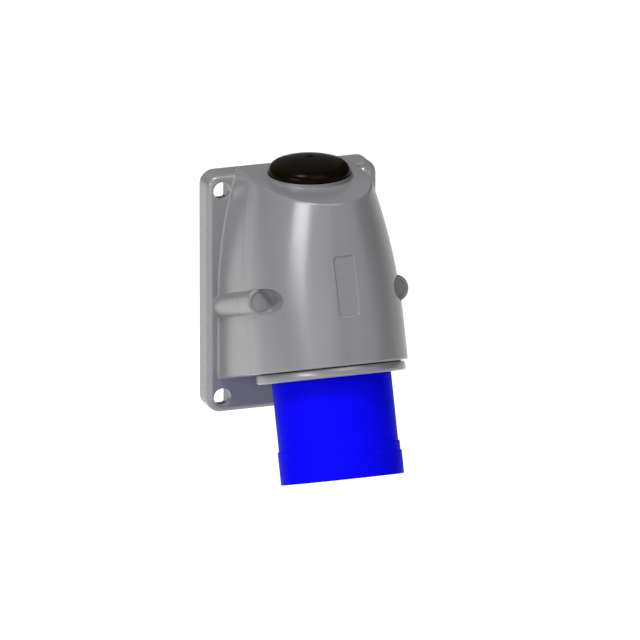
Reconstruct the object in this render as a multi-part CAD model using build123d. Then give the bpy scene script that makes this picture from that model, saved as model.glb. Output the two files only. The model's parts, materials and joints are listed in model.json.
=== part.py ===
from build123d import *
from math import cos, sin, sqrt, tan, radians
import os

# A wall-mounted pin and sleeve inlet, in millimetres. The wall is the plane Y = 0, +X is right,
# +Z is up, and the inlet stands out of the wall towards -Y. "Forward" below means out of the wall.

# Blue sleeve
sleeve_diameter = 50.0
sleeve_wall = 3.2
sleeve_length = 42.7
sleeve_clearance = 0.1
sleeve_flange = 2.5
band_rise = 0.55
band_length = 14.0
catch_rise = 0.5
catch_length = 10.0
catch_half_angle = 78.0
mouth_edge = 0.6
key_width = 8.0
key_height = 2.4
key_start = 0.3
key_setback = 2.0

# Collar between hood and sleeve, and its seals
collar_gap = 1.0
collar_thickness = 3.3
collar_rim = 4.6
collar_edge = 1.3
collar_neck_wall = 1.6
neck_clearance = 0.2
collar_flange = 3.0
flange_width = 2.6
flange_clearance = 0.15
gasket_gap = 0.4
gasket_ring = 2.4
sleeve_seal_thickness = 0.8

# Hood: flat flanks, an elliptical nose and a bowed top
tilt = 18.0
axis_forward = 57.2
axis_up = -21.5
flank_gap = 0.8
nose_gap = 0.4
hood_widest_up = -3.0
flank_radius = 200.0
loft_steps = 5
hood_root = 7.5
hood_rise = 2.6
crown_radius = 440.0
crown_forward = 25.0
top_edge = 1.0
rear_edge = 2.4
wall = 2.5
top_wall = 3.0
floor_wall = 3.0
seam_setback = 6.7
seam_gap = 0.15
root_round = 0.7
floor_edge = 0.8
cover_lip = 0.4
lip_length = 9.5

# Wall plate
plate_margin = 4.9
plate_height = 103.6
plate_depth = 10.5
plate_corner = 6.0
plate_edge = 2.2
plate_skin = 2.5
plate_rim = 2.0
back_wall = 2.5
hole_from_side = 6.25
hole_from_end = 6.8
hole_diameter = 7.5
pocket_side = 8.4
pocket_height = 9.6
pocket_corner = 1.0

# Cover screws and their bosses
boss_inset = 2.8
boss_above_floor = 29.9
boss_diameter = 11.4
boss_edge = 0.6
boss_face = 7.4
boss_root = -45.0
boss_wall = 1.6
scoop_inset = 0.3
scoop_wall = 2.0
plug_thickness = 1.7
plug_setback = 0.25
screw_shank = 3.9
screw_head_gap = 0.5
screw_head_height = 2.4
screw_length = 34.0
screw_run_out = 3.0
screw_slot = 1.2
seal_thickness = 0.6
insert_wall = 0.9
insert_length = 9.0
insert_setback = 0.3

# Parting-face gasket
gasket_width = 1.1
gasket_depth = 1.2
gasket_eyelet = 1.1
gasket_clearance = 0.06

# Contact carrier and pins
carrier_clearance = 0.1
carrier_flange = 2.5
carrier_face = 8.0
pin_circle_diameter = 27.5
pin_reach = 35.0
live_pin_diameter = 5.0
earth_pin_diameter = 7.0
pin_tip = 1.0
pin_root_step = 0.4
pin_collar_thickness = 3.0
pin_seat = 4.0
barrel_diameter = 8.0
barrel_length = 16.0
wire_bore = 4.2
wire_bore_depth = 9.0
spigot_wall = 1.0
retainer_margin = 0.8
retainer_thickness = 3.0
retainer_screw_inset = 1.75
small_screw_shank = 2.8
small_screw_head = 4.2
small_screw_head_height = 1.8
small_screw_slot = 0.7
retainer_screw_length = 11.0
carrier_screw_length = 7.9
screw_angles = (90, 210, 330)
terminal_screw_diameter = 3.2
terminal_screw_length = 4.0
terminal_screw_setback = 4.5
terminal_screw_proud = 0.9

# Cable entry on top
entry_forward = 31.5
entry_hole = 25.4
entry_rim_rise = 1.3
entry_rim_inset = 0.2
cap_overhang = 4.8
cap_skirt = 3.4
cap_dome = 3.8
cap_shoulder = 5.0
cap_neck_clearance = 0.2
cap_neck_wall = 3.0
cap_flange_width = 2.8
cap_flange_thickness = 2.4
cap_skin = 1.6
cap_dimple = 3.0
cap_dimple_depth = 0.5

# Plain field on the hood's front, where a mark could go
field_width = 9.0
field_height = 24.0
field_up = 19.6
field_corner = 1.5
field_depth = 0.4

# A close fit's clearance all round, and a size past everything
fit = 0.05
far = 200.0

# Sizes that follow from the ones above
sleeve_bore = sleeve_diameter - 2 * sleeve_wall
band_diameter = sleeve_diameter + 2 * band_rise
catch_diameter = band_diameter + 2 * catch_rise
collar_bore = sleeve_diameter + 2 * sleeve_clearance
collar_neck = collar_bore + 2 * collar_neck_wall
collar_diameter = collar_neck + 2 * collar_rim
flange_diameter = collar_neck + 2 * flange_width
hood_half_width = flange_diameter / 2 + flank_gap + wall
hood_reach = flange_diameter / 2 + nose_gap + wall
hood_top = plate_height / 2 + hood_rise
plate_width = 2 * (hood_half_width + plate_margin)
hole_spacing_across = plate_width - 2 * hole_from_side
hole_spacing_up = plate_height - 2 * hole_from_end
boss_spread = hood_half_width - boss_inset
scoop_diameter = boss_diameter - 2 * scoop_inset
plug_recess = boss_diameter - 2 * boss_wall
plug_recess_depth = seal_thickness + screw_head_height + fit + plug_thickness + plug_setback
screw_hole = screw_shank + 8 * fit
screw_head = plug_recess - 2 * screw_head_gap
insert_diameter = screw_shank + 2 * insert_wall + 2 * fit
retainer_diameter = sleeve_bore - 2 * retainer_margin
retainer_screw_circle = pin_circle_diameter - 2 * retainer_screw_inset
carrier_screw_circle = (collar_bore + flange_diameter) / 2
cap_diameter = entry_hole + 2 * cap_overhang
entry_rim = cap_diameter - 2 * entry_rim_inset
entry_rim_up = hood_top + entry_rim_rise
cap_flange = entry_hole + 2 * cap_flange_width
cap_bore = entry_hole - 2 * cap_neck_clearance - 2 * cap_neck_wall

lean = radians(tilt)
# The inlet's own frame: x is the row's X, z runs out of the mouth, and y points forward and up,
# square to the parting face. Its origin is on the axis in the plane of the hood's underside.
inlet = Plane(
    origin=(0, -axis_forward, axis_up), x_dir=(1, 0, 0), z_dir=(0, -sin(lean), -cos(lean))
).location
underside = collar_gap + collar_thickness
mouth = underside + sleeve_length
flange_top = -floor_wall - flange_clearance - collar_flange
sleeve_top = flange_top - sleeve_seal_thickness - sleeve_flange
carrier_top = sleeve_top - carrier_flange
retainer_top = carrier_top - retainer_thickness
barrel_end = -pin_seat - pin_collar_thickness - barrel_length
terminal_up = barrel_end + terminal_screw_setback
seat_diameter = barrel_diameter + 2 * spigot_wall + 4 * fit
boss_sides = (-boss_spread, boss_spread)
pin_places = {
    "line": (150.0, live_pin_diameter),
    "neutral": (30.0, live_pin_diameter),
    "earth": (270.0, earth_pin_diameter),
}


def rod(diameter, low, high):
    """A plain cylinder on the z axis from one height to another."""
    return Pos(0, 0, (low + high) / 2) * Cylinder(diameter / 2, high - low)


def ring(outer, inner, low, high):
    return rod(outer, low, high) - rod(inner, low - 1, high + 1)


def polar(circle, angle):
    """A place on a pitch circle, in the inlet's frame."""
    turn = radians(angle)
    return Pos(circle / 2 * cos(turn), circle / 2 * sin(turn), 0)


def screw(shank, length, head, head_height, slot):
    """A slotted screw: its head sits on z = 0 and its shank runs to +z."""
    body = rod(shank, -head_height / 2, length) + rod(head, -head_height, 0)
    return body - Pos(0, 0, -head_height) * Box(2 * head, slot, head_height)


def dome_point(radius, shoulder):
    """The point a third of the way out on the shallow dome's arc."""
    arc_radius = (radius**2 + cap_dome**2) / (2 * cap_dome)
    across = radius / 3
    return (across, shoulder + cap_dome - arc_radius + sqrt(arc_radius**2 - across**2))


def boss_rod(side, diameter, low, high):
    """A cylinder on a cover screw's axis, from one distance along it to another."""
    middle = Pos(side, (low + high) / 2, -boss_above_floor)
    return inlet * middle * Rot(90, 0, 0) * Cylinder(diameter / 2, high - low)


def half_width_at(height):
    """The hood's half width: constant low down, then drawn in along a large arc."""
    above = max(height - hood_widest_up, 0)
    return hood_half_width - flank_radius + sqrt(flank_radius**2 - above**2)


def axis_at(height):
    """How far forward the tilted axis is at a height."""
    return axis_forward - (height - axis_up) * tan(lean)


def hood_outline(height, inset, root, lip):
    """One level section: flanks from the root, then half an ellipse round the tilted axis."""
    half = half_width_at(height) - inset
    centre = -axis_at(height)
    reach = (hood_reach - inset) / cos(lean)
    nose = EllipticalCenterArc((0, centre), half, reach, start_angle=180, arc_size=180)
    root_half = half + lip * (-root - centre) / lip_length
    left = Line((-root_half, -root), nose @ 0)
    right = Line(nose @ 1, (root_half, -root))
    back = Line((root_half, -root), (-root_half, -root))
    return Pos(0, 0, height) * make_face(left + nose + right + back)


def crown(drop):
    """Everything below the bowed top, lowered by a wall."""
    centre = Pos(0, -crown_forward, hood_top - crown_radius)
    return centre * Rot(0, 90, 0) * Cylinder(crown_radius - drop, far)


def above_floor(rise):
    """Everything over the plane of the hood's underside, raised by a wall."""
    return inlet * Pos(0, 0, -rise - far / 2) * Box(far, 2 * far, far)


def behind_seam(offset=0.0):
    """Everything on the wall's side of the parting face."""
    return inlet * Pos(0, offset - seam_setback - far, 0) * Box(far, 2 * far, 2 * far)


def hood_form(inset, top_drop, floor_rise, root, lip=0.0):
    """The hood's solid form, or with insets its inside."""
    low = -axis_forward - hood_half_width
    span = hood_top + top_wall - hood_widest_up
    levels = [hood_widest_up + span * step / loft_steps for step in range(loft_steps + 1)]
    outlines = [hood_outline(level, inset, root, lip) for level in levels]
    lower = loft([hood_outline(low, inset, root, lip), outlines[0]], ruled=True)
    upper = loft(outlines)
    return (lower + upper) & crown(top_drop) & above_floor(floor_rise)


def chamber():
    """The wiring space: it stops lower behind, under the plate's top edge."""
    space = hood_form(wall, top_wall, floor_wall, back_wall)
    ledge_low = plate_height / 2 - top_wall
    ledge_forward = plate_depth + wall
    ledge = Pos(0, -ledge_forward / 2, ledge_low + far / 2) * Box(far, ledge_forward, far)
    return space - ledge


def plate():
    """The wall plate with its rounded front edge, screw holes and pockets open to the wall."""
    outline = RectangleRounded(plate_width, plate_height, plate_corner)
    body = Rot(90, 0, 0) * extrude(outline, plate_depth)
    front = body.faces().sort_by(Axis.Y)[0]
    body = fillet(front.edges(), plate_edge)
    depth = plate_depth - plate_skin
    pocket = extrude(RectangleRounded(pocket_side, pocket_height, pocket_corner), depth)
    pocket = Pos(0, (pocket_side - pocket_height) / 2, 0) * pocket
    for across in (-1, 1):
        for up in (-1, 1):
            place = Pos(across * hole_spacing_across / 2, 0, up * hole_spacing_up / 2) * Rot(90, 0, 0)
            body -= place * pocket
            body -= place * Cylinder(hole_diameter / 2, 2 * plate_depth + 1)
    # A long hollow between the lower pockets, as thick-walled mouldings have
    trough_width = hole_spacing_across - pocket_side - 2 * plate_rim
    trough = extrude(RectangleRounded(trough_width, pocket_side, pocket_corner), depth)
    return body - Pos(0, 0, -hole_spacing_up / 2) * Rot(90, 0, 0) * trough


def entry_rim_solid():
    return Pos(0, -entry_forward, 0) * rod(entry_rim, hood_top - top_wall, entry_rim_up)


def entry_cut():
    return Pos(0, -entry_forward, 0) * rod(entry_hole, hood_top - 4 * top_wall, far)


def neck_cut():
    return inlet * rod(collar_neck + 2 * neck_clearance, -2 * floor_wall, underside)


def scoop(side, diameter, start):
    return boss_rod(side, diameter, start, far / 2)


def gasket_band(grow):
    """The closed band in the parting face that runs midway in the walls."""
    middle = wall / 2
    outer = middle - gasket_width / 2 - grow
    inner = middle + gasket_width / 2 + grow
    band = hood_form(outer, outer, outer, hood_root) - hood_form(inner, inner, inner, hood_root)
    eyelet = screw_hole + 2 * gasket_eyelet
    for side in boss_sides:
        band += boss_rod(side, eyelet + 2 * gasket_width + 2 * grow, -2 * seam_setback, 0)
        band -= boss_rod(side, eyelet - 2 * grow, -3 * seam_setback, 1)
    return band & (behind_seam(seam_gap) - behind_seam(-gasket_depth - grow))


def outer_hood(lip=0.0):
    """The hood's outer form with its rear edge, top outline and bottom outline rounded."""
    form = hood_form(0, 0, 0, hood_root, lip)
    rear_top = form.edges().filter_by(Axis.X).sort_by(lambda edge: edge.center().Z)[-1]
    form = fillet(rear_top, rear_edge)
    ahead = form.edges().filter_by(lambda edge: edge.center().Y < -hood_root - 1)
    top_outline = ahead.filter_by(lambda edge: edge.center().Z > hood_top - 2 * top_wall)
    form = fillet(top_outline, top_edge)
    floor = form.faces().sort_by(lambda face: face.center().Z)[0]
    return fillet(floor.edges().filter_by(lambda edge: edge.center().Y < -hood_root - 1), floor_edge)


def plate_and_hood():
    """The plate joined to the rear half of the hood, with the root between them rounded."""
    body = plate() + (outer_hood() & behind_seam())
    root = body.edges().filter_by(lambda edge: abs(edge.center().Y + plate_depth) < fit)
    root = root.filter_by(lambda edge: abs(edge.center().X) < hood_half_width + fit)
    foot = -hood_half_width - hood_root
    flanks = root.filter_by(GeomType.BSPLINE)
    under = root.filter_by(Axis.X).filter_by(lambda edge: foot < edge.center().Z < 0)
    return fillet(flanks + under, root_round)


def mounting_base():
    rim = entry_rim_solid() & behind_seam()
    body = plate_and_hood() + rim - chamber()
    thread_end = boss_face - plug_recess_depth - screw_length - screw_run_out
    for side in boss_sides:
        body += boss_rod(side, boss_diameter, boss_root, -seam_setback)
    for side in boss_sides:
        body -= boss_rod(side, insert_diameter + 2 * fit, -seam_setback - insert_setback - insert_length, 0)
        body -= boss_rod(side, screw_hole, thread_end, 0)
    return body - entry_cut() - neck_cut() - gasket_band(gasket_clearance)


def mark_field():
    """A shallow plain oblong in the middle of the hood's front."""
    skin = hood_form(0, 0, 0, hood_root) - hood_form(field_depth, 0, 0, hood_root)
    oblong = extrude(RectangleRounded(field_width, field_height, field_corner), far)
    return skin & (Pos(0, 0, field_up) * Rot(90, 0, 0) * oblong)


def front_cover():
    front = outer_hood(cover_lip)
    shell = (front + entry_rim_solid()) - behind_seam(seam_gap) - chamber()
    for side in boss_sides:
        shell += front & scoop(side, scoop_diameter + 2 * scoop_wall, boss_face - scoop_wall)
        shell -= scoop(side, scoop_diameter, boss_face)
    for side in boss_sides:
        boss = boss_rod(side, boss_diameter, seam_gap - seam_setback, boss_face)
        shell += fillet(boss.edges().filter_by(GeomType.CIRCLE).sort_by(Axis.Y)[0], boss_edge)
        shell -= boss_rod(side, plug_recess, boss_face - plug_recess_depth, boss_face + 1)
        shell -= boss_rod(side, screw_hole, -seam_setback - 1, boss_face)
    return shell - entry_cut() - neck_cut() - mark_field()


def inlet_collar():
    """The ring under the hood, whose neck and inner flange the hood's two halves trap."""
    rim = rod(collar_diameter, collar_gap, underside)
    lower_edge = rim.edges().filter_by(GeomType.CIRCLE).sort_by(Axis.Z)[-1]
    body = fillet(lower_edge, collar_edge)
    body += rod(collar_neck, flange_top, underside - collar_edge)
    body += rod(flange_diameter, flange_top, flange_top + collar_flange)
    body -= rod(collar_bore, flange_top - 1, underside + 1)
    return inlet * (body - carrier_screw_holes())


def carrier_screw_holes():
    """Holes through carrier, sleeve and seal flanges and into the collar's flange."""
    end = carrier_top + carrier_screw_length + fit
    hole = rod(small_screw_shank + 2 * fit, carrier_top - 1, end)
    return [polar(carrier_screw_circle, angle) * hole for angle in screw_angles]


def inlet_sleeve():
    """The shroud: a tube with its inner flange, mouth band, lid catch and key rib."""
    band = rod(band_diameter, mouth - band_length, mouth)
    band = fillet(band.edges().filter_by(GeomType.CIRCLE).sort_by(Axis.Z)[-1], mouth_edge)
    about_axis = (Align.NONE, Align.NONE, Align.CENTER)
    catch = Cylinder(catch_diameter / 2, catch_length, arc_size=2 * catch_half_angle, align=about_axis)
    catch = Pos(0, 0, mouth - catch_length / 2) * Rot(0, 0, 90 - catch_half_angle) * catch
    catch_rim = catch.edges().filter_by(GeomType.CIRCLE).sort_by(Axis.Z)[-1]
    catch = fillet(catch_rim, mouth_edge)
    body = rod(sleeve_diameter, sleeve_top, mouth - band_length / 2) + band + catch
    body += rod(flange_diameter, sleeve_top, sleeve_top + sleeve_flange)
    body -= rod(sleeve_bore, sleeve_top - 1, mouth + 1)
    inner_edge = body.edges().filter_by(GeomType.CIRCLE).group_by(Axis.Z)[-1].sort_by(SortBy.RADIUS)[0]
    body = fillet(inner_edge, mouth_edge)
    key_low = carrier_face + key_start
    key_high = mouth - key_setback
    key = Box(key_width, 2 * key_height, key_high - key_low)
    key = Pos(0, -sleeve_bore / 2, (key_low + key_high) / 2) * key
    body += key & rod((sleeve_bore + sleeve_diameter) / 2, key_low, key_high)
    return inlet * (body - carrier_screw_holes())


def sleeve_seal():
    seal = ring(flange_diameter, collar_bore, sleeve_top + sleeve_flange, flange_top)
    return inlet * (seal - carrier_screw_holes())


def collar_gasket():
    inner = collar_neck + 2 * gasket_gap
    return inlet * ring(inner + 2 * gasket_ring, inner, 0, collar_gap)


def cover_gasket():
    return gasket_band(0) - entry_cut() - neck_cut()


def entry_cap():
    """A domed plug with a neck through the hood's top and a flange that holds it from inside."""
    radius = cap_diameter / 2
    neck = entry_hole / 2 - cap_neck_clearance
    bow = (entry_forward + cap_flange / 2 - crown_forward) ** 2 / (2 * crown_radius)
    inside = hood_top - top_wall - bow - fit
    foot = inside - cap_flange_thickness
    shoulder = entry_rim_up + cap_skirt
    top = shoulder + cap_dome
    profile = Polyline(
        (0, shoulder), (0, foot), (cap_flange / 2, foot), (cap_flange / 2, inside), (neck, inside),
        (neck, entry_rim_up), (radius, entry_rim_up), (radius, shoulder),
    )
    dome = ThreePointArc((radius, shoulder), dome_point(radius, shoulder), (0, top))
    section = make_face(profile + dome + Line((0, top), (0, shoulder)))
    body = revolve(Rot(90, 0, 0) * section, Axis.Z)
    body = fillet(body.edges().filter_by_position(Axis.Z, shoulder - fit, shoulder + fit), cap_shoulder)
    body -= rod(cap_bore, foot - 1, top - cap_skin - cap_dimple_depth)
    body -= Pos(0, 0, top + cap_dimple - cap_dimple_depth) * Sphere(cap_dimple)
    return Pos(0, -entry_forward, 0) * body


def screw_plugs():
    top = boss_face - plug_setback
    size = plug_recess - 2 * fit
    return [boss_rod(side, size, top - plug_thickness, top) for side in boss_sides]


def cover_screws():
    turn = Rot(90, 0, 0)
    body = screw(screw_shank, screw_length, screw_head, screw_head_height, screw_slot)
    seat = boss_face - plug_recess_depth + seal_thickness
    return [inlet * Pos(side, seat, -boss_above_floor) * turn * body for side in boss_sides]


def screw_seals():
    seat = boss_face - plug_recess_depth
    rings = []
    for side in boss_sides:
        outer = boss_rod(side, screw_head, seat, seat + seal_thickness)
        rings.append(outer - boss_rod(side, screw_hole, seat - 1, seat + 1))
    return rings


def boss_inserts():
    top = -seam_setback - insert_setback
    inserts = []
    for side in boss_sides:
        outer = boss_rod(side, insert_diameter, top - insert_length, top)
        inserts.append(outer - boss_rod(side, screw_shank + 2 * fit, top - insert_length - 1, top + 1))
    return inserts


def contact_carrier():
    """The insulating insert: pin holes from the front, counterbores from behind."""
    body = rod(sleeve_bore - 2 * carrier_clearance, carrier_top, carrier_face)
    body += rod(flange_diameter, carrier_top, sleeve_top)
    for angle, diameter in pin_places.values():
        place = polar(pin_circle_diameter, angle)
        body -= place * rod(diameter + 2 * (pin_root_step + fit), carrier_top - 1, carrier_face + 1)
        body -= place * rod(seat_diameter, carrier_top - 1, -pin_seat)
    hole = rod(small_screw_shank + 2 * fit, carrier_top - 1, retainer_top + retainer_screw_length + fit)
    body -= [polar(retainer_screw_circle, angle) * hole for angle in screw_angles]
    return inlet * (body - carrier_screw_holes())


def pin_retainer():
    """A plate with spigots that press the pins' collars into their seats."""
    body = rod(retainer_diameter, retainer_top, carrier_top)
    for angle, diameter in pin_places.values():
        place = polar(pin_circle_diameter, angle)
        body += place * rod(seat_diameter - 2 * fit, retainer_top, -pin_seat - pin_collar_thickness)
        body -= place * rod(barrel_diameter + 2 * fit, retainer_top - 1, 0)
    hole = rod(small_screw_shank + 2 * fit, retainer_top - 1, carrier_top + 1)
    body -= [polar(retainer_screw_circle, angle) * hole for angle in screw_angles]
    return inlet * body


def contact_pin(name):
    """A turned pin: rounded tip, shank, collar and wire barrel, with its terminal screw's hole."""
    angle, diameter = pin_places[name]
    shank = rod(diameter, -pin_seat - 1, carrier_face + pin_reach)
    tip = shank.edges().filter_by(GeomType.CIRCLE).sort_by(Axis.Z)[-1]
    body = fillet(tip, pin_tip) + rod(diameter + 2 * pin_root_step, -pin_seat - 1, carrier_face)
    body += rod(seat_diameter - 2 * fit, -pin_seat - pin_collar_thickness, -pin_seat)
    body += rod(barrel_diameter, barrel_end, -pin_seat - pin_collar_thickness)
    body -= rod(wire_bore, barrel_end - 1, barrel_end + wire_bore_depth)
    hole = Cylinder(terminal_screw_diameter / 2 + fit, barrel_diameter)
    body -= Pos(0, barrel_diameter / 2, terminal_up) * Rot(90, 0, 0) * hole
    return inlet * polar(pin_circle_diameter, angle) * body


def terminal_screws():
    size = terminal_screw_diameter
    top = barrel_diameter / 2 + terminal_screw_proud
    body = rod(size, 0, terminal_screw_length) - Box(2 * size, small_screw_slot, 2 * small_screw_slot)
    screws = []
    for angle, diameter in pin_places.values():
        place = inlet * polar(pin_circle_diameter, angle) * Pos(0, top, terminal_up)
        screws.append(place * Rot(90, 0, 0) * body)
    return screws


def small_screws(circle, seat, length):
    body = screw(small_screw_shank, length, small_screw_head, small_screw_head_height, small_screw_slot)
    return [inlet * polar(circle, angle) * Pos(0, 0, seat) * body for angle in screw_angles]


def retainer_screws():
    return small_screws(retainer_screw_circle, retainer_top, retainer_screw_length)


def carrier_screws():
    return small_screws(carrier_screw_circle, carrier_top, carrier_screw_length)


def line_pin():
    return contact_pin("line")


def neutral_pin():
    return contact_pin("neutral")


def earth_pin():
    return contact_pin("earth")


pieces = [
    mounting_base, front_cover, inlet_collar, inlet_sleeve, entry_cap, screw_plugs,
    collar_gasket, cover_gasket, sleeve_seal, contact_carrier, pin_retainer,
    line_pin, neutral_pin, earth_pin, terminal_screws, retainer_screws, carrier_screws,
    cover_screws, screw_seals, boss_inserts,
]

os.makedirs("parts", exist_ok=True)
for piece in pieces:
    made = piece()
    solids = made if isinstance(made, list) else made.solids()
    export_step(Compound(children=[Part() + solid for solid in solids]), f"parts/{piece.__name__}.step")
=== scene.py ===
import bpy
import bmesh
import json
import numpy as np
from math import cos, sin, pi, radians
from mathutils import Matrix, Vector


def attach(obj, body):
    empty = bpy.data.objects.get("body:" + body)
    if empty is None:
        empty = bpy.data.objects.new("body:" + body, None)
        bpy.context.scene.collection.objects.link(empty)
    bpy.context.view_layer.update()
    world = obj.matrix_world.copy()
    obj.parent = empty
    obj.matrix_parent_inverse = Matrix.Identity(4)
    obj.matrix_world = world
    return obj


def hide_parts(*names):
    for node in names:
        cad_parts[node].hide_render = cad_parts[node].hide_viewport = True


# Wall-mounted pin and sleeve inlet: grey two-part hood on a wall plate, black cable cap, blue shroud
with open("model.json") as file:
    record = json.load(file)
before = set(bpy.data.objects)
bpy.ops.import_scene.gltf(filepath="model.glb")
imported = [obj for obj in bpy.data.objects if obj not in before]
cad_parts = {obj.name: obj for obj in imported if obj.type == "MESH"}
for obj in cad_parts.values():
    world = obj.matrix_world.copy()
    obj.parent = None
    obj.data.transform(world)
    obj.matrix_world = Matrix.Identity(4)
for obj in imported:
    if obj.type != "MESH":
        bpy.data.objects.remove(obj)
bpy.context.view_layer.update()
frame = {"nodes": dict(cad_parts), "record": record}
nodes = frame["nodes"]
mm = 0.001
print("frame loaded:", len(nodes), "nodes")


# Camera: long lens from the front left and above, as in the picture
cameraValues = {"right": (0.9415, -0.3371, 0.0), "up": (0.0989, 0.2763, 0.9560),
                "target": (1.61 * mm, -40.0 * mm, -6.13 * mm), "spanMm": 266.7, "lens": 1000.0,
                "sensor": 36.0, "clipEnd": 60.0}


def addCamera(values):
    cameraData = bpy.data.cameras.new("viewCamera")
    cameraData.lens = values["lens"]
    cameraData.sensor_width = values["sensor"]
    cameraData.clip_end = values["clipEnd"]
    camera = bpy.data.objects.new("viewCamera", cameraData)
    bpy.context.scene.collection.objects.link(camera)
    right = Vector(values["right"]).normalized()
    back = right.cross(Vector(values["up"])).normalized()
    distance = values["lens"] / values["sensor"] * values["spanMm"] * mm
    place = Matrix((right, back.cross(right), back)).transposed().to_4x4()
    place.translation = Vector(values["target"]) + back * distance
    camera.matrix_world = place
    bpy.context.scene.camera = camera


addCamera(cameraValues)
bpy.context.scene.view_settings.view_transform = "Standard"
print("camera placed")


# Floor, world and lamps
stageValues = {"floorLow": -0.30, "floorHalf": 30.0, "floorColour": (0.90, 0.90, 0.90), "floorLift": 0.80,
               "floorRoughness": 0.9, "worldColour": (0.98, 0.99, 1.0), "worldStrength": 0.04}
lampValues = [  # name, azimuth, elevation, distance, width, height, watts
    ("keyLamp", -61.0, 21.0, 1.8, 0.8, 0.15, 8.0),
    ("topSoftbox", -56.0, 62.0, 1.8, 0.36, 0.36, 18.0),
    ("highSoftbox", 10.0, 50.0, 1.8, 1.0, 1.0, 8.0),
    ("frontSoftbox", -26.0, 5.0, 1.8, 1.4, 1.0, 4.4),
    ("rightSoftbox", 40.0, 12.0, 1.8, 1.4, 1.0, 2.2),
    ("backSoftbox", 180.0, 40.0, 1.8, 2.2, 2.2, 2.8),
]


def directionOf(azimuth, elevation):
    # azimuth 0 is straight out of the wall and grows to the right
    a, e = radians(azimuth), radians(elevation)
    return Vector((sin(a) * cos(e), -cos(a) * cos(e), sin(e)))


def addLamp(name, azimuth, elevation, distance, width, height, watts):
    lampData = bpy.data.lights.new(name, "AREA")
    lampData.shape = "RECTANGLE"
    lampData.size = width
    lampData.size_y = height
    lampData.energy = watts
    lamp = bpy.data.objects.new(name, lampData)
    toLamp = directionOf(azimuth, elevation)
    lamp.location = toLamp * distance
    lamp.rotation_euler = (-toLamp).to_track_quat("-Z", "Y").to_euler()
    bpy.context.scene.collection.objects.link(lamp)


def newMaterial(name):
    material = bpy.data.materials.new(name)
    material.use_nodes = True
    tree = material.node_tree
    return material, tree, tree.nodes["Principled BSDF"]


def seenDirectly(tree):
    # 1 for camera, glossy and transmission rays, 0 for the light that falls on the object
    path = tree.nodes.new("ShaderNodeLightPath")
    seen = path.outputs["Is Camera Ray"]
    for ray in ("Is Glossy Ray", "Is Transmission Ray"):
        either = tree.nodes.new("ShaderNodeMath")
        either.operation = "MAXIMUM"
        tree.links.new(seen, either.inputs[0])
        tree.links.new(path.outputs[ray], either.inputs[1])
        seen = either.outputs[0]
    return seen


def addStage(values):
    half, low = values["floorHalf"], values["floorLow"]
    floorMesh = bpy.data.meshes.new("paleFloor")
    floorMesh.from_pydata([(-half, -half, low), (half, -half, low), (half, half, low), (-half, half, low)],
                          [], [(0, 1, 2, 3)])
    floor = bpy.data.objects.new("paleFloor", floorMesh)
    bpy.context.scene.collection.objects.link(floor)
    material, tree, shader = newMaterial("paleFloorPaint")
    shader.inputs["Base Color"].default_value = (*values["floorColour"], 1)
    shader.inputs["Roughness"].default_value = values["floorRoughness"]
    shader.inputs["Specular IOR Level"].default_value = 0.0
    seen = seenDirectly(tree)
    lift = tree.nodes.new("ShaderNodeMath")
    lift.operation = "MULTIPLY"
    lift.inputs[1].default_value = values["floorLift"]
    tree.links.new(seen, lift.inputs[0])
    shader.inputs["Emission Color"].default_value = (1, 1, 1, 1)
    tree.links.new(lift.outputs[0], shader.inputs["Emission Strength"])
    floorMesh.materials.append(material)

    world = bpy.data.worlds.new("softRoom")
    bpy.context.scene.world = world
    world.use_nodes = True
    soft = world.node_tree.nodes["Background"]
    soft.inputs["Color"].default_value = (*values["worldColour"], 1)
    soft.inputs["Strength"].default_value = values["worldStrength"]


addStage(stageValues)
for lamp in lampValues:
    addLamp(*lamp)
print("floor, world and", len(lampValues), "lamps ready")


# Shader groups that several finishes share
grainValues = {"fine": (3.0, 0.6), "coarse": (2.0, 0.5), "drift": (3.0, 0.55),  # detail and roughness
               "coarseScale": 0.28}
driftLow, driftHigh = 0.15, 0.85  # the drift noise seldom leaves this range
edgeSamples = 6


def newGroup(name, inputs, outputs):
    group = bpy.data.node_groups.new(name, "ShaderNodeTree")
    for label, value, kind in inputs:
        socket = group.interface.new_socket(label, in_out="INPUT", socket_type=kind)
        socket.default_value = value
    for label, kind in outputs:
        group.interface.new_socket(label, in_out="OUTPUT", socket_type=kind)
    return group, group.nodes.new("NodeGroupInput"), group.nodes.new("NodeGroupOutput")


def addNode(tree, kind, values=None, **settings):
    node = tree.nodes.new(kind)
    for key, value in settings.items():
        setattr(node, key, value)
    for key, value in (values or {}).items():
        node.inputs[key].default_value = value
    return node


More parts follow.
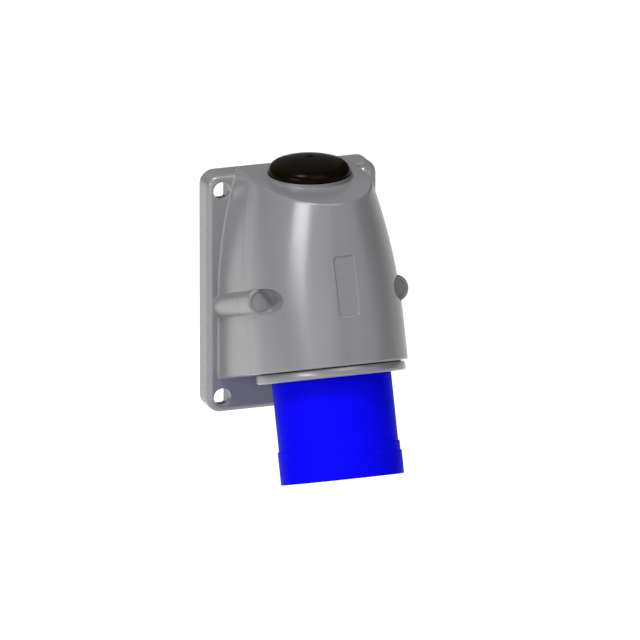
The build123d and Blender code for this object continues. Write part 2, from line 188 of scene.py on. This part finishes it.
def makeGrainGroup(v):
    # Spark-eroded mould grain: two noises of different sizes mixed, and a slow drift in tone
    group, entry, out = newGroup(
        "mouldGrain",
        [("Grains per metre", 2600.0, "NodeSocketFloat"), ("Coarse share", 0.35, "NodeSocketFloat"),
         ("Drift per metre", 28.0, "NodeSocketFloat")],
        [("Height", "NodeSocketFloat"), ("Drift", "NodeSocketFloat")],
    )
    coords = addNode(group, "ShaderNodeTexCoord")
    fine, coarse, drift = [
        addNode(group, "ShaderNodeTexNoise", {"Detail": detail, "Roughness": roughness})
        for detail, roughness in (v["fine"], v["coarse"], v["drift"])]
    coarser = addNode(group, "ShaderNodeMath", {1: v["coarseScale"]}, operation="MULTIPLY")
    mixed = addNode(group, "ShaderNodeMix")
    link = group.links.new
    for noise in (fine, coarse, drift):
        link(coords.outputs["Object"], noise.inputs["Vector"])
    link(entry.outputs["Grains per metre"], fine.inputs["Scale"])
    link(entry.outputs["Grains per metre"], coarser.inputs[0])
    link(coarser.outputs[0], coarse.inputs["Scale"])
    link(entry.outputs["Drift per metre"], drift.inputs["Scale"])
    link(entry.outputs["Coarse share"], mixed.inputs["Factor"])
    link(fine.outputs["Fac"], mixed.inputs["A"])
    link(coarse.outputs["Fac"], mixed.inputs["B"])
    link(mixed.outputs["Result"], out.inputs["Height"])
    link(drift.outputs["Fac"], out.inputs["Drift"])
    return group


def makeEdgeGroup():
    # How far the rounded normal leaves the true one: 1 on a crisp edge, 0 on a flat or gently curved face
    group, entry, out = newGroup(
        "edgeShine",
        [("Rounded normal", (0.0, 0.0, 1.0), "NodeSocketVector"), ("Gain", 3.0, "NodeSocketFloat")],
        [("Mask", "NodeSocketFloat")],
    )
    truth = addNode(group, "ShaderNodeNewGeometry")
    agree = addNode(group, "ShaderNodeVectorMath", operation="DOT_PRODUCT")
    leave = addNode(group, "ShaderNodeMath", {0: 1.0}, operation="SUBTRACT")
    gained = addNode(group, "ShaderNodeMath", operation="MULTIPLY", use_clamp=True)
    link = group.links.new
    link(entry.outputs["Rounded normal"], agree.inputs[0])
    link(truth.outputs["Normal"], agree.inputs[1])
    link(agree.outputs["Value"], leave.inputs[1])
    link(leave.outputs[0], gained.inputs[0])
    link(entry.outputs["Gain"], gained.inputs[1])
    link(gained.outputs[0], out.inputs["Mask"])
    return group


mouldGrain = makeGrainGroup(grainValues)
edgeShine = makeEdgeGroup()


def placeGroup(tree, group, values):
    node = tree.nodes.new("ShaderNodeGroup")
    node.node_tree = group
    for label, value in values.items():
        node.inputs[label].default_value = value
    return node


def roundedEdges(tree, reach, gain):
    # a Bevel node for the normal, and the group's mask of where it bends
    rounded = addNode(tree, "ShaderNodeBevel", {"Radius": reach}, samples=edgeSamples)
    edge = placeGroup(tree, edgeShine, {"Gain": gain})
    tree.links.new(rounded.outputs["Normal"], edge.inputs["Rounded normal"])
    return rounded.outputs["Normal"], edge.outputs["Mask"]


def mixColours(tree, factor, first, second):
    node = addNode(tree, "ShaderNodeMix", data_type="RGBA")
    for key, value in (("A", first), ("B", second)):
        if isinstance(value, tuple):
            node.inputs[key].default_value = (*value, 1)
        else:
            tree.links.new(value, node.inputs[key])
    tree.links.new(factor, node.inputs["Factor"])
    return node.outputs["Result"]


def spread(tree, source, low, high):
    # the drift noise, smoothed and stretched to run from low to high
    ends = {"From Min": driftLow, "From Max": driftHigh, "To Min": low, "To Max": high}
    node = addNode(tree, "ShaderNodeMapRange", ends, interpolation_type="SMOOTHSTEP")
    tree.links.new(source, node.inputs["Value"])
    return node.outputs["Result"]


def driftAndEdges(tree, shader, values):
    # What all finishes share: tint and roughness drift a little, crisp edges get a paler painted highlight
    # colour, the normal is bumped.
    # The grain's height and the bump's socket for a height are handed back.
    grains = {"Grains per metre": values["grains"], "Drift per metre": values["drift"]}
    grain = placeGroup(tree, mouldGrain, grains)
    rounded, edge = roundedEdges(tree, values["edgeReach"], values["edgeGain"])
    tone = spread(tree, grain.outputs["Drift"], 0.0, 1.0)
    rough = spread(tree, grain.outputs["Drift"], values["roughLow"], values["roughHigh"])
    body = mixColours(tree, tone, values["shade"], values["tint"])
    # painted highlight: the paler edge colour stands in for the light that crisp edges catch
    colour = mixColours(tree, edge, body, values["edgeHighlightTint"])
    bump = addNode(tree, "ShaderNodeBump", {"Strength": values["bump"], "Distance": values["bumpDepth"]})
    link = tree.links.new
    link(colour, shader.inputs["Base Color"])
    link(rough, shader.inputs["Roughness"])
    link(rounded, bump.inputs["Normal"])
    link(bump.outputs["Normal"], shader.inputs["Normal"])
    return grain.outputs["Height"], bump.inputs["Height"]


def mouldedPlastic(name, values):
    # Moulded plastic or rubber: the mould's grain is its bump
    material, tree, shader = newMaterial(name)
    grainHeight, bumpHeight = driftAndEdges(tree, shader, values)
    tree.links.new(grainHeight, bumpHeight)
    shader.inputs["Specular IOR Level"].default_value = values["specular"]
    return material


def turnedMetal(name, values):
    # Turned metal: its bump is fine lathe lines, a wave along the axis that "turn" gives, bent by noise
    material, tree, shader = newMaterial(name)
    bumpHeight = driftAndEdges(tree, shader, values)[1]
    coords = addNode(tree, "ShaderNodeTexCoord")
    turn = addNode(tree, "ShaderNodeMapping", {"Rotation": values["turn"]})
    waves = {"Scale": values["lines"], "Distortion": values["lineBend"], "Detail": values["lineDetail"]}
    wave = addNode(tree, "ShaderNodeTexWave", waves, wave_type="BANDS", bands_direction="Z")
    tree.links.new(coords.outputs["Object"], turn.inputs["Vector"])
    tree.links.new(turn.outputs["Vector"], wave.inputs["Vector"])
    tree.links.new(wave.outputs["Fac"], bumpHeight)
    shader.inputs["Metallic"].default_value = 1.0
    return material


# Tints are linear; no roughness range crosses 0.27, because the denoiser draws a line where one does
# each finish's edge colour is a painted highlight on its crisp edges
greyPlastic = mouldedPlastic("greyHousingPlastic", {
    "tint": (0.252, 0.253, 0.263), "shade": (0.234, 0.235, 0.243), "edgeHighlightTint": (0.34, 0.34, 0.35),
    "grains": 2600.0, "drift": 26.0, "edgeReach": 0.0006, "edgeGain": 2.0,
    "bump": 0.18, "bumpDepth": 0.00006, "roughLow": 0.245, "roughHigh": 0.268, "specular": 0.9})
bluePlastic = mouldedPlastic("blueShroudPlastic", {
    "tint": (0.0040, 0.0026, 0.98), "shade": (0.0032, 0.0020, 0.93), "edgeHighlightTint": (0.02, 0.02, 1.0),
    "grains": 2200.0, "drift": 22.0, "edgeReach": 0.0004, "edgeGain": 1.0,
    "bump": 0.10, "bumpDepth": 0.00005, "roughLow": 0.44, "roughHigh": 0.52, "specular": 0.02})
capRubber = mouldedPlastic("blackCapRubber", {
    "tint": (0.0068, 0.0040, 0.0018), "shade": (0.0052, 0.0031, 0.0014), "edgeHighlightTint": (0.010, 0.007, 0.004),
    "grains": 1900.0, "drift": 40.0, "edgeReach": 0.0005, "edgeGain": 1.0,
    "bump": 0.22, "bumpDepth": 0.00006, "roughLow": 0.20, "roughHigh": 0.25, "specular": 0.04})
sealRubber = mouldedPlastic("darkSealRubber", {
    "tint": (0.030, 0.030, 0.032), "shade": (0.020, 0.020, 0.021), "edgeHighlightTint": (0.05, 0.05, 0.05),
    "grains": 1700.0, "drift": 60.0, "edgeReach": 0.0002, "edgeGain": 1.0,
    "bump": 0.25, "bumpDepth": 0.00006, "roughLow": 0.60, "roughHigh": 0.72, "specular": 0.35})
insertPlastic = mouldedPlastic("paleInsertPlastic", {
    "tint": (0.52, 0.52, 0.49), "shade": (0.47, 0.47, 0.44), "edgeHighlightTint": (0.60, 0.60, 0.57),
    "grains": 2400.0, "drift": 36.0, "edgeReach": 0.0003, "edgeGain": 1.2,
    "bump": 0.16, "bumpDepth": 0.00005, "roughLow": 0.46, "roughHigh": 0.56, "specular": 0.45})
brassFinish = turnedMetal("turnedBrass", {
    "tint": (0.72, 0.49, 0.20), "shade": (0.62, 0.41, 0.16), "edgeHighlightTint": (0.85, 0.66, 0.36),
    "turn": (radians(-18.0), 0.0, 0.0), "lines": 1400.0, "lineBend": 1.2, "lineDetail": 2.0,
    "grains": 1800.0, "drift": 120.0, "edgeReach": 0.0003, "edgeGain": 2.0,
    "bump": 0.03, "bumpDepth": 0.00004, "roughLow": 0.29, "roughHigh": 0.36})
zincFinish = turnedMetal("zincPlatedSteel", {
    "tint": (0.62, 0.63, 0.66), "shade": (0.50, 0.51, 0.54), "edgeHighlightTint": (0.78, 0.79, 0.82),
    "turn": (radians(72.0), 0.0, 0.0), "lines": 1100.0, "lineBend": 1.2, "lineDetail": 2.0,
    "grains": 1800.0, "drift": 120.0, "edgeReach": 0.0003, "edgeGain": 2.0,
    "bump": 0.10, "bumpDepth": 0.00004, "roughLow": 0.29, "roughHigh": 0.38})
print("finishes mixed")


# Every CAD node gets its finish; the three that show their edges most are made again below
finishOf = {
    "grey_plastic": greyPlastic, "blue_plastic": bluePlastic, "cap_rubber": capRubber,
    "seal_rubber": sealRubber, "insert_plastic": insertPlastic, "brass": brassFinish,
    "zinc_steel": zincFinish,
}
slotOf = {part["node"]: part["material_slot"] for part in frame["record"]["subparts"]}
for nodeName, node in nodes.items():
    for slot in node.material_slots:
        slot.material = finishOf[slotOf[nodeName]]
print("CAD nodes dressed")


# The inlet leans out of the wall: x across, y forward and up, z out of the mouth
inletValues = {"lean": 18.0, "forward": 57.2, "up": -21.5}
lean = radians(inletValues["lean"])
inletOrigin = np.array((0.0, -inletValues["forward"], inletValues["up"]))
inletAxes = np.array(((1.0, 0.0, 0.0), (0.0, -cos(lean), sin(lean)), (0.0, -sin(lean), -cos(lean))))


def inInlet(points):
    return inletOrigin + points @ inletAxes


# Lathe tools, all in millimetres
bendSteps = 7  # points on each rounded corner of a profile
creaseAngle = 35.0  # an edge that turns more than this stays sharp
mergeWithin = 1e-6  # metres: points closer than this are one
thinWithin = 1e-7  # metres: faces and edges shorter than this go


def roundedPath(corners):
    # corners are (radius, height, rounding); each rounded corner becomes a quadratic bend
    path = []
    for index, (r, z, bend) in enumerate(corners):
        here = np.array((r, z))
        if bend == 0:
            path.append(here)
            continue
        before = np.array(corners[index - 1][:2]) - here
        after = np.array(corners[(index + 1) % len(corners)][:2]) - here
        start = here + before / np.hypot(*before) * bend
        end = here + after / np.hypot(*after) * bend
        t = np.linspace(0.0, 1.0, bendSteps)[:, None]
        path.extend((1 - t) ** 2 * start + 2 * t * (1 - t) * here + t ** 2 * end)
    return np.array(path)


def subdivided(path, longest):
    # no step along the path is longer than this, so that the quads stay short
    out = [path[:1]]
    for start, end in zip(path[:-1], path[1:]):
        count = max(1, int(np.ceil(np.hypot(*(end - start)) / longest)))
        out.append(start + (end - start) * np.arange(1, count + 1)[:, None] / count)
    return np.concatenate(out)


def evenAngles(count):
    return np.linspace(0.0, 2 * pi, count, endpoint=False)


def latheGrid(path, angles, reshaped=None):
    # point = (r cos a, r sin a, z), with r and z changed first by the function given, if there is one
    a = angles[None, :]
    r = np.repeat(path[:, :1], len(angles), axis=1)
    z = np.repeat(path[:, 1:], len(angles), axis=1)
    if reshaped is not None:
        r, z = reshaped(r, z, np.repeat(a, len(path), axis=0))
    return np.stack((r * np.cos(a), r * np.sin(a), z), axis=-1)


def gridFaces(rows, columns, closedRows):
    # quads between neighbouring rows and columns; columns always wrap round
    i = np.arange(rows if closedRows else rows - 1)[:, None]
    j = np.arange(columns)[None, :]
    i2, j2 = (i + 1) % rows, (j + 1) % columns
    quads = (i * columns + j, i * columns + j2, i2 * columns + j2, i2 * columns + j)
    return np.stack(quads, axis=-1).reshape(-1, 4)


def addPiece(name, points, faces, finish, replaced):
    mesh = bpy.data.meshes.new(name)
    mesh.from_pydata(points.reshape(-1, 3) * mm, [], faces.tolist())
    mesh.materials.append(finish)
    shape = bmesh.new()
    shape.from_mesh(mesh)
    bmesh.ops.remove_doubles(shape, verts=shape.verts, dist=mergeWithin)
    bmesh.ops.dissolve_degenerate(shape, edges=shape.edges, dist=thinWithin)
    bmesh.ops.recalc_face_normals(shape, faces=shape.faces)
    limit = radians(creaseAngle)
    for edge in shape.edges:
        edge.smooth = len(edge.link_faces) == 2 and edge.calc_face_angle(0.0) < limit
    for face in shape.faces:
        face.smooth = True
    shape.to_mesh(mesh)
    shape.free()
    piece = bpy.data.objects.new(name, mesh)
    bpy.context.scene.collection.objects.link(piece)
    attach(piece, "root")
    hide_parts(*replaced)
    return piece


# Cable cap: a domed rubber grommet; heights are from the plate's centre
capValues = {"forward": 31.5, "radius": 17.5, "foot": 55.7, "top": 62.9, "shoulder": 5.0, "domeRise": 3.8,
             "neck": 12.5, "bore": 9.5, "skin": 1.6, "dimple": 3.0, "dimpleDepth": 0.5,
             "stem": 7.3, "lip": 3.0, "grip": 4.9, "footEdge": 0.45, "lipEdge": 0.5, "neckEdge": 0.3,
             "roofEdge": 0.8, "shoulderSteps": 28, "domeSteps": 60, "longest": 0.6, "segments": 256}


def capPath(v):
    # outer dome: a large arc of radius (r^2 + h^2) / 2h, met by the shoulder's round where both are tangent
    big = (v["radius"] ** 2 + v["domeRise"] ** 2) / (2 * v["domeRise"])
    centre = v["top"] - big
    bend = v["shoulder"]
    bendUp = centre + np.sqrt((big - bend) ** 2 - (v["radius"] - bend) ** 2)
    meet = (v["radius"] - bend) * big / (big - bend)
    turn = np.arctan2(centre + np.sqrt(big ** 2 - meet ** 2) - bendUp, meet - v["radius"] + bend)
    a = np.linspace(0.0, turn, v["shoulderSteps"])
    shoulder = np.stack((v["radius"] - bend + bend * np.cos(a), bendUp + bend * np.sin(a)), axis=1)
    # dimple: a ball of its own radius pressed in from above, height = top + ball - depth - sqrt(ball^2 - r^2)
    across = np.linspace(meet, 0.0, v["domeSteps"])[1:]
    up = centre + np.sqrt(big ** 2 - across ** 2)
    ball = v["dimple"]
    hollow = v["top"] + ball - v["dimpleDepth"] - np.sqrt(np.maximum(ball ** 2 - across ** 2, 0.0))
    up = np.where(across < ball, np.minimum(up, hollow), up)
    return shoulder, np.stack((across, up), axis=1)


def makeCap(v):
    shoulder, dome = capPath(v)
    low, lip, grip = v["foot"] - v["stem"], v["neck"] + v["lip"], v["foot"] - v["grip"]
    under = roundedPath([
        (v["bore"], low, v["lipEdge"]), (lip, low, v["lipEdge"]), (lip, grip, v["neckEdge"]),
        (v["neck"], grip, v["neckEdge"]), (v["neck"], v["foot"], v["neckEdge"]),
        (v["radius"], v["foot"], v["footEdge"]), (v["radius"], shoulder[0, 1], 0)])
    under = under[bendSteps:-1]  # the bore below has its own foot, and the shoulder its own first point
    roof = v["top"] - v["skin"] - v["dimpleDepth"]
    bore = np.array(((0.0, roof), (v["bore"] - v["roofEdge"], roof), (v["bore"], roof - v["roofEdge"]),
                     (v["bore"], low + v["lipEdge"]), (v["bore"] + v["lipEdge"], low)))
    path = subdivided(np.concatenate((bore, under, shoulder, dome)), v["longest"])
    angles = evenAngles(v["segments"])
    points = latheGrid(path, angles)
    points[..., 1] -= v["forward"]
    faces = gridFaces(len(path), len(angles), False)
    return addPiece("cableCap", points, faces, capRubber, ("entry_cap",))


makeCap(capValues)
print("cable cap turned")


# Collar under the hood: rim with a low lip round its top, trapped neck and inner flange
collarValues = {"bore": 25.1, "neck": 26.7, "rim": 31.3, "flange": 29.3, "top": 1.0, "bottom": 4.3,
                "lipTop": 0.45, "lipInside": 29.9, "draft": 0.45, "flangeTop": -6.15, "flangeLow": -3.15,
                "edge": 1.2, "lipEdge": 0.2, "grooveEdge": 0.15, "boreEdge": 0.2, "mouthEdge": 0.25,
                "flangeEdge": 0.3, "faceSteps": 7, "longest": 0.8, "segments": 256}


def makeCollar(v):
    # the rim's outer face is a shallow arc: radius = rim - draft * (share of the height above its foot)^2
    share = np.linspace(0.9, 0.1, v["faceSteps"])
    foot = v["bottom"] - v["edge"]
    face = [(v["rim"] - v["draft"] * s ** 2, foot + (v["lipTop"] - foot) * s, 0) for s in share]
    path = roundedPath([
        (v["bore"], v["flangeTop"], v["boreEdge"]), (v["flange"], v["flangeTop"], v["flangeEdge"]),
        (v["flange"], v["flangeLow"], v["flangeEdge"]), (v["neck"], v["flangeLow"], v["boreEdge"]),
        (v["neck"], v["top"], v["boreEdge"]), (v["lipInside"], v["top"], v["grooveEdge"]),
        (v["lipInside"], v["lipTop"], v["grooveEdge"]), (v["rim"] - v["draft"], v["lipTop"], v["lipEdge"]),
        *face, (v["rim"], v["bottom"], v["edge"]), (v["bore"], v["bottom"], v["mouthEdge"])])
    path = subdivided(np.concatenate((path, path[:1])), v["longest"])[:-1]
    angles = evenAngles(v["segments"])
    points = inInlet(latheGrid(path, angles))
    faces = gridFaces(len(path), len(angles), True)
    return addPiece("collarRing", points, faces, greyPlastic, ("inlet_collar",))


makeCollar(collarValues)
print("collar turned")


# Blue shroud: tube, inner flange, mouth band, lid catch over most of the front, key rib inside at the back
shroudValues = {"outer": 25.0, "bore": 21.8, "flange": 29.3, "top": -9.45, "flangeLow": -6.95, "mouth": 46.97,
                "band": 25.55, "bandTop": 33.0, "catch": 26.04, "catchTop": 37.0, "catchHalf": 78.0,
                "keyHalf": 4.0, "keyFace": 19.4, "keyTop": 8.3, "keyLow": 45.0, "edge": 0.6,
                "boreEdge": 0.2, "flangeEdge": 0.3, "bandRoot": 0.1, "bandEdge": 0.12,
                "step": 0.02, "liftIn": 0.6, "wallIn": 1.0, "boreSlack": 0.1, "longest": 1.2, "segments": 288}
pairOffsets = np.array((-0.45, -0.12, 0.12, 0.45))  # degrees from each end of the catch and the rib
pairRoom = 0.5  # even columns this close to an end give way to its pairs


def shroudAngles(v):
    # even steps, with close pairs of columns where the catch and the key rib end
    keyTurn = np.degrees(np.arctan2(v["keyHalf"], v["keyFace"]))
    ends = np.array((90 - v["catchHalf"], 90 + v["catchHalf"], 270 - keyTurn, 270 + keyTurn))
    even = np.linspace(0.0, 360.0, v["segments"], endpoint=False)
    far = np.abs(even[:, None] - ends[None, :]).min(axis=1) > pairRoom
    pairs = np.concatenate([end + pairOffsets for end in ends])
    return np.radians(np.sort(np.concatenate((even[far], pairs))) % 360.0)


def makeShroud(v):
    step = v["step"]  # catch and rib begin and end within this distance of their heights
    path = roundedPath([
        (v["bore"], v["top"], v["boreEdge"]), (v["flange"], v["top"], v["flangeEdge"]),
        (v["flange"], v["flangeLow"], v["flangeEdge"]), (v["outer"], v["flangeLow"], v["flangeEdge"]),
        (v["outer"], v["bandTop"], v["bandRoot"]), (v["band"], v["bandTop"], v["bandEdge"]),
        (v["band"], v["catchTop"] - step, 0), (v["band"], v["catchTop"] + step, 0),
        (v["band"], v["mouth"], v["edge"]), (v["bore"], v["mouth"], v["edge"]),
        (v["bore"], v["keyLow"] + step, 0), (v["bore"], v["keyLow"] - step, 0),
        (v["bore"], v["keyTop"] + step, 0), (v["bore"], v["keyTop"] - step, 0)])
    path = subdivided(np.concatenate((path, path[:1])), v["longest"])[:-1]

    def shaped(r, z, a):
        # catch: the band's outer face is lifted all the way out, and less over the last liftIn inside it
        fromFront = np.abs((np.degrees(a) - 90.0 + 180.0) % 360.0 - 180.0)
        onCatch = (r > v["bore"] + v["wallIn"]) & (z > v["catchTop"]) & (fromFront < v["catchHalf"])
        lifted = r + (v["catch"] - v["band"]) * np.clip((r - v["outer"] + v["liftIn"]) / v["liftIn"], 0, 1)
        r = np.where(onCatch, lifted, r)
        # key rib: a flat face set in from the bore, radius = its distance / cos(angle from the back)
        fromBack = np.abs((a - 1.5 * pi + pi) % (2 * pi) - pi)
        onRib = (fromBack < np.arctan2(v["keyHalf"], v["keyFace"])) & (z > v["keyTop"]) & (z < v["keyLow"])
        onRib &= r < v["bore"] + v["boreSlack"]
        return np.where(onRib, v["keyFace"] / np.cos(fromBack), r), z

    angles = shroudAngles(v)
    points = inInlet(latheGrid(path, angles, shaped))
    faces = gridFaces(len(path), len(angles), True)
    return addPiece("blueShroud", points, faces, bluePlastic, ("inlet_sleeve",))


makeShroud(shroudValues)
print("shroud formed")
